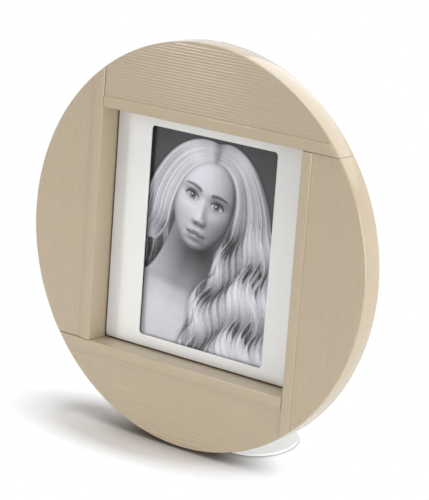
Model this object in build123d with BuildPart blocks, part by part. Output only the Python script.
from build123d import *
import os
from math import cos, floor, radians, sin, sqrt, tan

# Round photo frame: four reeded mouldings, set pinwheel fashion round a square window and trimmed
# to one disc, with a white mat and an upright print in the window, on a foot that plugs in behind.
# Millimetres. +X is the viewer's right, -Y the front, +Z up, and the table is at Z = 0.
# The disc leans back, so its pieces are drawn on the plane of the mouldings' backs: X right, Y up
# along the face, Z out of the front.

# Print, mat and mouldings
PHOTO_WIDTH = 130.0
PHOTO_HEIGHT = 180.0
PHOTO_LAP = 2.4
MAT_BORDER = 9.7
MAT_THICKNESS = 1.0
MAT_GAP = 1.2
MAT_ROUND = 3.0
OPENING_ROUND = 3.3
MOULDING_WIDTH = 66.5
FIELD_THICKNESS = 19.5
BAND_WIDTH = 9.3
BAND_RISE = 1.2
BAND_ROUND = 1.2
REED_PITCH = 2.44
REED_HEIGHT = 0.35
RIM_ROUND = 1.5
RIM_ROUND_ANGLE = 60.0
JOINT_GAP = 0.3
TRIM_MARGIN = 5.0

# Dowels across the butt joints
DOWEL_DIAMETER = 6.0
DOWEL_LENGTH = 20.0
DOWEL_END_PLAY = 0.5
DOWEL_COVER = 3.0

# Boards, glazing and card behind the window
BOARD_THICKNESS = 3.0
BOARD_INSET = 10.0
CARRIER_LAP = 12.5
CARRIER_ROUND = 6.0
PLATEAU_SETBACK = 1.0
LIP_THICKNESS = 2.0
LIP_SETBACK = 0.5
POCKET_CLEARANCE = 1.0
POCKET_ROUND = 2.0
GLAZING_THICKNESS = 2.0
PRINT_THICKNESS = 0.3
CARD_THICKNESS = 1.7
COVER_THICKNESS = 3.0
COVER_CLEARANCE = 0.3
COVER_NOTCH_RADIUS = 9.0

# Screws: shank and head diameters, head height, cross recess and the room round a shank
SCREW_SHANK = 4.0
SCREW_HEAD = 8.0
SCREW_HEAD_HEIGHT = 2.6
SCREW_FIT = 0.05
SMALL_SCREW_SHANK = 3.0
SMALL_SCREW_HEAD = 6.0
SMALL_SCREW_HEAD_HEIGHT = 2.0
HEAD_ROUND = 0.9
RECESS_WIDTH = 0.9
RECESS_LENGTH = 3.6
RECESS_DEPTH = 1.0
SCREW_TIP_PLAY = 0.5
BOARD_SCREW_LENGTH = 14.0
BOARD_SCREW_SPACING = 130.0
CARRIER_SCREW_LENGTH = 20.0
CARRIER_SCREW_SPACING = 120.0
SOCKET_SCREW_LENGTH = 12.0
BUTTON_SCREW_DEPTH = 6.0

# Turn buttons that hold the rear cover
BUTTON_REACH = 14.0
BUTTON_WIDTH = 10.0
BUTTON_THICKNESS = 1.5
BUTTON_OFFSET = 9.0
BUTTON_SPACING = 100.0
BUTTON_PLAY = 0.1
BUTTON_FIT = 0.05

# Foot, upright and socket
LEAN = 6.75
RIM_LIFT = 0.2
FOOT_LENGTH = 148.0
FOOT_DEPTH = 69.0
FOOT_THICKNESS = 2.0
FOOT_EDGE_ROUND = 0.6
FOOT_SETBACK = 0.8
PAD_THICKNESS = 0.5
PAD_INSET = 3.0
TONGUE_WIDTH = 60.0
TONGUE_THICKNESS = 2.0
TONGUE_PLAY = 0.15
TONGUE_SIDE_PLAY = 0.3
TONGUE_CORNER = 4.0
BEND_RADIUS = 3.0
UPRIGHT_FLANGE = 26.0
SOCKET_WALL = 2.0
SOCKET_EAR = 18.0
SOCKET_GAP = 2.0
SOCKET_MARGIN = 1.7
SOCKET_CORNER = 3.0
SOCKET_SCREW_INSET = 8.0
RIVET_DIAMETER = 4.0
RIVET_HEAD = 8.0
RIVET_HEAD_HEIGHT = 2.2
RIVET_FIT = 0.05
RIVET_SPACING = 40.0
RIVET_INSET = 12.0
RIVET_SINK = 1.0

# Sizes that follow from these, out from the print to the rim
opening_width = PHOTO_WIDTH - 2 * PHOTO_LAP
opening_height = PHOTO_HEIGHT - 2 * PHOTO_LAP
mat_side = opening_height + 2 * MAT_BORDER
window_half = mat_side / 2 + MAT_GAP
disc_radius = window_half + MOULDING_WIDTH
board_radius = disc_radius - BOARD_INSET
carrier_half = window_half + CARRIER_LAP
pocket_width = PHOTO_WIDTH + 2 * POCKET_CLEARANCE
pocket_height = PHOTO_HEIGHT + 2 * POCKET_CLEARANCE
cover_width = pocket_width - 2 * COVER_CLEARANCE
cover_height = pocket_height - 2 * COVER_CLEARANCE

# Depths behind the plane of the mouldings' backs
glazing_front = MAT_THICKNESS + LIP_THICKNESS
print_front = glazing_front + GLAZING_THICKNESS
card_front = print_front + PRINT_THICKNESS
cover_front = card_front + CARD_THICKNESS
carrier_rear = cover_front + COVER_THICKNESS

# The disc stands on the lower back edge of its rim, just in front of the foot
lean = radians(LEAN)
rim_back = -FOOT_DEPTH / 2 - FOOT_SETBACK
BACK = Plane(
    origin=(0, rim_back + disc_radius * sin(lean), RIM_LIFT + disc_radius * cos(lean)),
    x_dir=(1, 0, 0),
    z_dir=(0, -cos(lean), sin(lean)),
)
DEPTH_AXIS = Axis(BACK.origin, BACK.z_dir)

# A dowel sits midway between the window's corner and where its far end would near the rim
dowel_inner = window_half + DOWEL_DIAMETER / 2 + DOWEL_COVER
dowel_end = window_half + DOWEL_LENGTH / 2 + DOWEL_COVER
dowel_outer = sqrt((disc_radius - DOWEL_COVER) ** 2 - dowel_end**2) - DOWEL_DIAMETER / 2
dowel_place = (dowel_inner + dowel_outer) / 2
dowel_height = FIELD_THICKNESS / 2
dowel_hole_radius = DOWEL_DIAMETER / 2 + SCREW_FIT
dowel_hole_depth = DOWEL_LENGTH / 2 + DOWEL_END_PLAY

# Screws of one moulding, as places along and out from its side of the window
board_screw_along = BOARD_SCREW_SPACING / 2
board_rim_there = sqrt(board_radius**2 - board_screw_along**2)
board_screw_out = (carrier_half + board_rim_there) / 2
board_screw_spots = [(side * board_screw_along, board_screw_out) for side in (-1, 1)]
carrier_screw_along = CARRIER_SCREW_SPACING / 2
carrier_screw_out = window_half + CARRIER_LAP / 2
carrier_screw_spots = [(side * carrier_screw_along, carrier_screw_out) for side in (-1, 1)]
screw_hole_radius = SCREW_SHANK / 2 + SCREW_FIT
small_hole_radius = SMALL_SCREW_SHANK / 2 + SCREW_FIT

# The socket hangs below the carrier, inside the board's rim
slot_half = TONGUE_WIDTH / 2 + TONGUE_SIDE_PLAY
socket_half = slot_half + SOCKET_WALL + SOCKET_EAR
socket_top = -(carrier_half + SOCKET_GAP)
socket_bottom = -sqrt(board_radius**2 - socket_half**2) + SOCKET_MARGIN
socket_height = socket_top - socket_bottom
socket_middle = (socket_top + socket_bottom) / 2
slot_depth = TONGUE_THICKNESS + 2 * TONGUE_PLAY
slot_top = socket_top - SOCKET_WALL
socket_screw_along = socket_half - SOCKET_EAR / 2
socket_screw_spots = [
    (side * socket_screw_along, level)
    for side in (-1, 1)
    for level in (socket_top - SOCKET_SCREW_INSET, socket_bottom + SOCKET_SCREW_INSET)
]

# Turn buttons beside the pocket's long sides
button_pivot_x = pocket_width / 2 + BUTTON_OFFSET
button_spots = {
    "turn_button_upper_left": (-button_pivot_x, BUTTON_SPACING / 2),
    "turn_button_upper_right": (button_pivot_x, BUTTON_SPACING / 2),
    "turn_button_lower_left": (-button_pivot_x, -BUTTON_SPACING / 2),
    "turn_button_lower_right": (button_pivot_x, -BUTTON_SPACING / 2),
}
button_front = carrier_rear + BUTTON_PLAY
button_rear = button_front + BUTTON_THICKNESS


def side_plane(turn):
    """The plane of the backs, turned so that Y points out from one side of the window."""
    angle = radians(-90 * turn)
    along = BACK.x_dir * cos(angle) + BACK.y_dir * sin(angle)
    return Plane(BACK.origin, x_dir=along, z_dir=BACK.z_dir)


def save(piece, name):
    """Label a finished piece and write it under its own name."""
    piece.part.label = name
    export_step(piece.part, f"parts/{name}.step")


def reeded_panel(turn, extra_spots):
    """One moulding: its section run along a side of the window and trimmed to the disc."""
    plane = side_plane(turn)
    band_top = FIELD_THICKNESS + BAND_RISE
    valley = FIELD_THICKNESS - REED_HEIGHT
    band_edge = window_half + BAND_WIDTH
    reed_count = floor((disc_radius - RIM_ROUND - band_edge) / REED_PITCH)
    reed_end = band_edge + reed_count * REED_PITCH
    blank_edge = disc_radius + TRIM_MARGIN
    butt_end = -window_half + JOINT_GAP
    section_start = plane.from_local_coords((butt_end, 0, 0))
    with BuildPart() as panel:
        with BuildSketch(Plane(section_start, x_dir=plane.y_dir, z_dir=plane.x_dir)):
            with BuildLine():
                Polyline(
                    (reed_end, valley),
                    (blank_edge, valley),
                    (blank_edge, 0),
                    (window_half, 0),
                    (window_half, band_top - BAND_ROUND),
                )
                RadiusArc(
                    (window_half, band_top - BAND_ROUND), (window_half + BAND_ROUND, band_top), BAND_ROUND
                )
                Polyline((window_half + BAND_ROUND, band_top), (band_edge, band_top), (band_edge, valley))
                for reed in range(reed_count):
                    start = band_edge + reed * REED_PITCH
                    ThreePointArc(
                        (start, valley),
                        (start + REED_PITCH / 2, FIELD_THICKNESS),
                        (start + REED_PITCH, valley),
                    )
            make_face()
        extrude(amount=disc_radius - butt_end)
        # The disc: a turned ring with a rounded front edge, which passes clear of the flat faces
        ring_inside = window_half - TRIM_MARGIN
        with BuildSketch(Plane(plane.origin, x_dir=plane.x_dir, z_dir=-plane.y_dir)):
            with BuildLine():
                Polyline(
                    (ring_inside, band_top + TRIM_MARGIN),
                    (ring_inside, -TRIM_MARGIN),
                    (disc_radius, -TRIM_MARGIN),
                    (disc_radius, FIELD_THICKNESS - RIM_ROUND),
                )
                rounding = CenterArc(
                    (disc_radius - RIM_ROUND, FIELD_THICKNESS - RIM_ROUND), RIM_ROUND, 0, RIM_ROUND_ANGLE
                )
                rise = band_top + TRIM_MARGIN - (rounding @ 1).Y
                run = rise * tan(radians(RIM_ROUND_ANGLE))
                Polyline(
                    rounding @ 1,
                    ((rounding @ 1).X - run, band_top + TRIM_MARGIN),
                    (ring_inside, band_top + TRIM_MARGIN),
                )
            make_face()
        revolve(axis=DEPTH_AXIS, mode=Mode.INTERSECT)
        # Dowel holes: one in the butt end, one in the side that the next moulding butts against
        end_hole = plane.from_local_coords((butt_end, dowel_place, dowel_height))
        with BuildSketch(Plane(end_hole, x_dir=plane.y_dir, z_dir=plane.x_dir)):
            Circle(dowel_hole_radius)
        extrude(amount=dowel_hole_depth, mode=Mode.SUBTRACT)
        side_hole = plane.from_local_coords((dowel_place, window_half, dowel_height))
        with BuildSketch(Plane(side_hole, x_dir=plane.x_dir, z_dir=plane.y_dir)):
            Circle(dowel_hole_radius)
        extrude(amount=dowel_hole_depth, mode=Mode.SUBTRACT)
        # Pilot holes for the screws that come in from behind
        with BuildSketch(plane):
            with Locations(*board_screw_spots):
                Circle(screw_hole_radius)
        extrude(amount=BOARD_SCREW_LENGTH - BOARD_THICKNESS + SCREW_TIP_PLAY, mode=Mode.SUBTRACT)
        with BuildSketch(plane):
            with Locations(*carrier_screw_spots):
                Circle(screw_hole_radius)
        extrude(amount=CARRIER_SCREW_LENGTH - carrier_rear + SCREW_TIP_PLAY, mode=Mode.SUBTRACT)
        if extra_spots:
            extra_depth = SOCKET_SCREW_LENGTH - SOCKET_WALL - BOARD_THICKNESS + SCREW_TIP_PLAY
            with BuildSketch(BACK):
                with Locations(*extra_spots):
                    Circle(small_hole_radius)
            extrude(amount=extra_depth, mode=Mode.SUBTRACT)
    return panel


def pan_head_screws(seat_depth, spots, shank, length, head, head_height):
    """Screws with heads on the plane at seat_depth and shanks that run forward from it."""
    seat = BACK.offset(-seat_depth)
    with BuildPart() as screws:
        with BuildSketch(seat):
            with Locations(*spots):
                Circle(shank / 2)
        extrude(amount=length)
        with BuildSketch(seat):
            with Locations(*spots):
                Circle(head / 2)
        extrude(amount=-head_height)
        crowns = screws.edges().filter_by(GeomType.CIRCLE).group_by(DEPTH_AXIS)[0]
        fillet(crowns, HEAD_ROUND)
        with BuildSketch(BACK.offset(-seat_depth - head_height)):
            with Locations(*spots):
                Rectangle(RECESS_LENGTH, RECESS_WIDTH)
                Rectangle(RECESS_WIDTH, RECESS_LENGTH)
        extrude(amount=RECESS_DEPTH, mode=Mode.SUBTRACT)
    return screws


def on_all_sides(spots):
    """Places given for one side of the window, turned to all four sides of the face."""
    places = []
    for turn in range(4):
        plane = side_plane(turn)
        for along, out in spots:
            place = BACK.to_local_coords(plane.from_local_coords((along, out, 0)))
            places.append((place.X, place.Y))
    return places


def sheet(width, height, depth, thickness):
    """A plain rectangular sheet in the pocket, with its front at the given depth."""
    with BuildPart() as piece:
        with BuildSketch(BACK.offset(-depth)):
            Rectangle(width, height)
        extrude(amount=-thickness)
    return piece


os.makedirs("parts", exist_ok=True)

# Mouldings, clockwise from the top
for turn, name in enumerate(("top_panel", "right_panel", "bottom_panel", "left_panel")):
    save(reeded_panel(turn, socket_screw_spots if name == "bottom_panel" else []), name)

# Dowels across the four butt joints
with BuildPart() as joint_dowels:
    for turn in range(4):
        plane = side_plane(turn)
        start = plane.from_local_coords((-window_half - DOWEL_LENGTH / 2, dowel_place, dowel_height))
        with BuildSketch(Plane(start, x_dir=plane.y_dir, z_dir=plane.x_dir)):
            Circle(DOWEL_DIAMETER / 2)
        extrude(amount=DOWEL_LENGTH)
save(joint_dowels, "joint_dowels")

# Back board, a round sheet that ties the mouldings together
board_holes = on_all_sides(board_screw_spots) + on_all_sides(carrier_screw_spots)
with BuildPart() as back_board:
    with BuildSketch(BACK):
        Circle(board_radius)
        Rectangle(2 * window_half, 2 * window_half, mode=Mode.SUBTRACT)
        with Locations(*board_holes):
            Circle(screw_hole_radius, mode=Mode.SUBTRACT)
        with Locations(*socket_screw_spots):
            Circle(small_hole_radius, mode=Mode.SUBTRACT)
    extrude(amount=-BOARD_THICKNESS)
save(back_board, "back_board")

back_board_screws = pan_head_screws(
    BOARD_THICKNESS,
    on_all_sides(board_screw_spots),
    SCREW_SHANK,
    BOARD_SCREW_LENGTH,
    SCREW_HEAD,
    SCREW_HEAD_HEIGHT,
)
save(back_board_screws, "back_board_screws")

# White mat, a thin sheet flush with the backs of the mouldings
with BuildPart() as mat_sheet:
    with BuildSketch(BACK):
        RectangleRounded(mat_side, mat_side, MAT_ROUND)
        RectangleRounded(opening_width, opening_height, OPENING_ROUND, mode=Mode.SUBTRACT)
    extrude(amount=-MAT_THICKNESS)
save(mat_sheet, "mat_sheet")

# Carrier: a board behind the back board, raised in the window to hold the mat, with the print's pocket
plateau_side = mat_side - 2 * PLATEAU_SETBACK
with BuildPart() as carrier:
    with BuildSketch(BACK.offset(-BOARD_THICKNESS)):
        RectangleRounded(2 * carrier_half, 2 * carrier_half, CARRIER_ROUND)
    extrude(amount=BOARD_THICKNESS - carrier_rear)
    with BuildSketch(BACK.offset(-MAT_THICKNESS)):
        RectangleRounded(plateau_side, plateau_side, MAT_ROUND)
    extrude(amount=MAT_THICKNESS - BOARD_THICKNESS)
    with BuildSketch(BACK.offset(-MAT_THICKNESS)):
        RectangleRounded(opening_width + 2 * LIP_SETBACK, opening_height + 2 * LIP_SETBACK, OPENING_ROUND)
    extrude(amount=MAT_THICKNESS - carrier_rear, mode=Mode.SUBTRACT)
    with BuildSketch(BACK.offset(-glazing_front)):
        RectangleRounded(pocket_width, pocket_height, POCKET_ROUND)
    extrude(amount=glazing_front - carrier_rear, mode=Mode.SUBTRACT)
    with BuildSketch(BACK.offset(-carrier_rear)):
        with Locations(*on_all_sides(carrier_screw_spots)):
            Circle(screw_hole_radius)
    extrude(amount=carrier_rear - BOARD_THICKNESS, mode=Mode.SUBTRACT)
    with BuildSketch(BACK.offset(-carrier_rear)):
        with Locations(*button_spots.values()):
            Circle(small_hole_radius)
    extrude(amount=BUTTON_SCREW_DEPTH + SCREW_TIP_PLAY, mode=Mode.SUBTRACT)
save(carrier, "carrier_board")

carrier_screws = pan_head_screws(
    carrier_rear,
    on_all_sides(carrier_screw_spots),
    SCREW_SHANK,
    CARRIER_SCREW_LENGTH,
    SCREW_HEAD,
    SCREW_HEAD_HEIGHT,
)
save(carrier_screws, "carrier_screws")

# Glazing, print, card and cover, stacked in the pocket
save(sheet(PHOTO_WIDTH, PHOTO_HEIGHT, glazing_front, GLAZING_THICKNESS), "glazing")
save(sheet(PHOTO_WIDTH, PHOTO_HEIGHT, print_front, PRINT_THICKNESS), "photo_print")
save(sheet(PHOTO_WIDTH, PHOTO_HEIGHT, card_front, CARD_THICKNESS), "backing_card")
with BuildPart() as rear_cover:
    with BuildSketch(BACK.offset(-cover_front)):
        RectangleRounded(cover_width, cover_height, POCKET_ROUND)
        with Locations((0, -cover_height / 2)):
            Circle(COVER_NOTCH_RADIUS, mode=Mode.SUBTRACT)
    extrude(amount=-COVER_THICKNESS)
save(rear_cover, "rear_cover")

# Turn buttons: each lies across the cover's edge and swings on its screw
for name, (pivot_x, pivot_y) in button_spots.items():
    inward = -BUTTON_REACH if pivot_x > 0 else BUTTON_REACH
    with BuildPart() as button:
        with BuildSketch(BACK.offset(-button_front)):
            with Locations((pivot_x + inward / 2, pivot_y)):
                SlotCenterToCenter(BUTTON_REACH, BUTTON_WIDTH)
            with Locations((pivot_x, pivot_y)):
                Circle(SMALL_SCREW_SHANK / 2 + BUTTON_FIT, mode=Mode.SUBTRACT)
        extrude(amount=-BUTTON_THICKNESS)
    save(button, name)

button_screw_seat = button_rear + BUTTON_PLAY
turn_button_screws = pan_head_screws(
    button_screw_seat,
    list(button_spots.values()),
    SMALL_SCREW_SHANK,
    button_screw_seat - carrier_rear + BUTTON_SCREW_DEPTH,
    SMALL_SCREW_HEAD,
    SMALL_SCREW_HEAD_HEIGHT,
)
save(turn_button_screws, "turn_button_screws")

# Socket: a hat-shaped bracket on the back board, open below and closed above
with BuildPart() as stand_socket:
    with BuildSketch(BACK.offset(-BOARD_THICKNESS)):
        with Locations((0, socket_middle)):
            RectangleRounded(2 * socket_half, socket_height, SOCKET_CORNER)
    extrude(amount=-SOCKET_WALL)
    with BuildSketch(BACK.offset(-BOARD_THICKNESS)):
        with Locations((0, socket_middle)):
            Rectangle(2 * (slot_half + SOCKET_WALL), socket_height)
    extrude(amount=-(slot_depth + SOCKET_WALL))
    with BuildSketch(BACK.offset(-BOARD_THICKNESS)):
        with Locations((0, (slot_top + socket_bottom) / 2)):
            Rectangle(2 * slot_half, slot_top - socket_bottom)
    extrude(amount=-slot_depth, mode=Mode.SUBTRACT)
    with BuildSketch(BACK.offset(-BOARD_THICKNESS)):
        with Locations(*socket_screw_spots):
            Circle(small_hole_radius)
    extrude(amount=-SOCKET_WALL, mode=Mode.SUBTRACT)
save(stand_socket, "stand_socket")

socket_screws = pan_head_screws(
    BOARD_THICKNESS + SOCKET_WALL,
    socket_screw_spots,
    SMALL_SCREW_SHANK,
    SOCKET_SCREW_LENGTH,
    SMALL_SCREW_HEAD,
    SMALL_SCREW_HEAD_HEIGHT,
)
save(socket_screws, "socket_screws")

# Upright: one bent strip, a tongue in the socket and a flange on the foot
tongue_depth = BOARD_THICKNESS + TONGUE_PLAY + TONGUE_THICKNESS / 2
tongue_top = BACK.from_local_coords((0, slot_top - TONGUE_PLAY, -tongue_depth))
flange_bottom = PAD_THICKNESS + FOOT_THICKNESS
flange_middle = flange_bottom + TONGUE_THICKNESS / 2
bend_y = tongue_top.Y - (tongue_top.Z - flange_middle) * sin(lean) / cos(lean)
flange_end = bend_y + UPRIGHT_FLANGE
rivet_y = flange_end - RIVET_INSET
rivet_spots = [(side * RIVET_SPACING / 2, rivet_y) for side in (-1, 1)]
rivet_hole_radius = RIVET_DIAMETER / 2 + RIVET_FIT
with BuildPart() as stand_upright:
    with BuildSketch(Plane.YZ):
        with BuildLine():
            FilletPolyline(
                (tongue_top.Y, tongue_top.Z),
                (bend_y, flange_middle),
                (flange_end, flange_middle),
                radius=BEND_RADIUS,
            )
        trace(line_width=TONGUE_THICKNESS)
    extrude(amount=TONGUE_WIDTH / 2, both=True)
    corners = stand_upright.edges().filter_by(GeomType.LINE)
    tongue_corners = corners.filter_by(DEPTH_AXIS).group_by(Axis.Z)[-1]
    fillet(tongue_corners, TONGUE_CORNER)
    with BuildSketch(Plane.XY.offset(flange_bottom)):
        with Locations(*rivet_spots):
            Circle(rivet_hole_radius)
    extrude(amount=TONGUE_THICKNESS, mode=Mode.SUBTRACT)
save(stand_upright, "stand_upright")

# Foot plate: a pill-shaped plate with a softened top edge
with BuildPart() as foot_plate:
    with BuildSketch(Plane.XY.offset(PAD_THICKNESS)):
        SlotOverall(FOOT_LENGTH, FOOT_DEPTH)
    extrude(amount=FOOT_THICKNESS)
    fillet(foot_plate.faces().sort_by(Axis.Z)[-1].edges(), FOOT_EDGE_ROUND)
    with Locations(*[Location((x, y, PAD_THICKNESS), (180, 0, 0)) for x, y in rivet_spots]):
        CounterSinkHole(rivet_hole_radius, rivet_hole_radius + RIVET_SINK, FOOT_THICKNESS, 90)
save(foot_plate, "foot_plate")

# Rivets: a domed head on the flange, sunk flush below the plate
rivet_dome_radius = ((RIVET_HEAD / 2) ** 2 + RIVET_HEAD_HEIGHT**2) / (2 * RIVET_HEAD_HEIGHT)
with BuildPart() as foot_rivets:
    for x, y in rivet_spots:
        with BuildSketch(Plane((x, y, 0), x_dir=(1, 0, 0), z_dir=(0, -1, 0))):
            with BuildLine():
                Polyline(
                    (0, flange_bottom + TONGUE_THICKNESS + RIVET_HEAD_HEIGHT),
                    (0, PAD_THICKNESS),
                    (RIVET_DIAMETER / 2 + RIVET_SINK, PAD_THICKNESS),
                    (RIVET_DIAMETER / 2, PAD_THICKNESS + RIVET_SINK),
                    (RIVET_DIAMETER / 2, flange_bottom + TONGUE_THICKNESS),
                    (RIVET_HEAD / 2, flange_bottom + TONGUE_THICKNESS),
                )
                RadiusArc(
                    (RIVET_HEAD / 2, flange_bottom + TONGUE_THICKNESS),
                    (0, flange_bottom + TONGUE_THICKNESS + RIVET_HEAD_HEIGHT),
                    -rivet_dome_radius,
                )
            make_face()
        revolve(axis=Axis((x, y, 0), (0, 0, 1)))
save(foot_rivets, "foot_rivets")

# Thin pad under the plate
with BuildPart() as foot_pad:
    with BuildSketch(Plane.XY):
        SlotOverall(FOOT_LENGTH - 2 * PAD_INSET, FOOT_DEPTH - 2 * PAD_INSET)
    extrude(amount=PAD_THICKNESS)
save(foot_pad, "foot_pad")
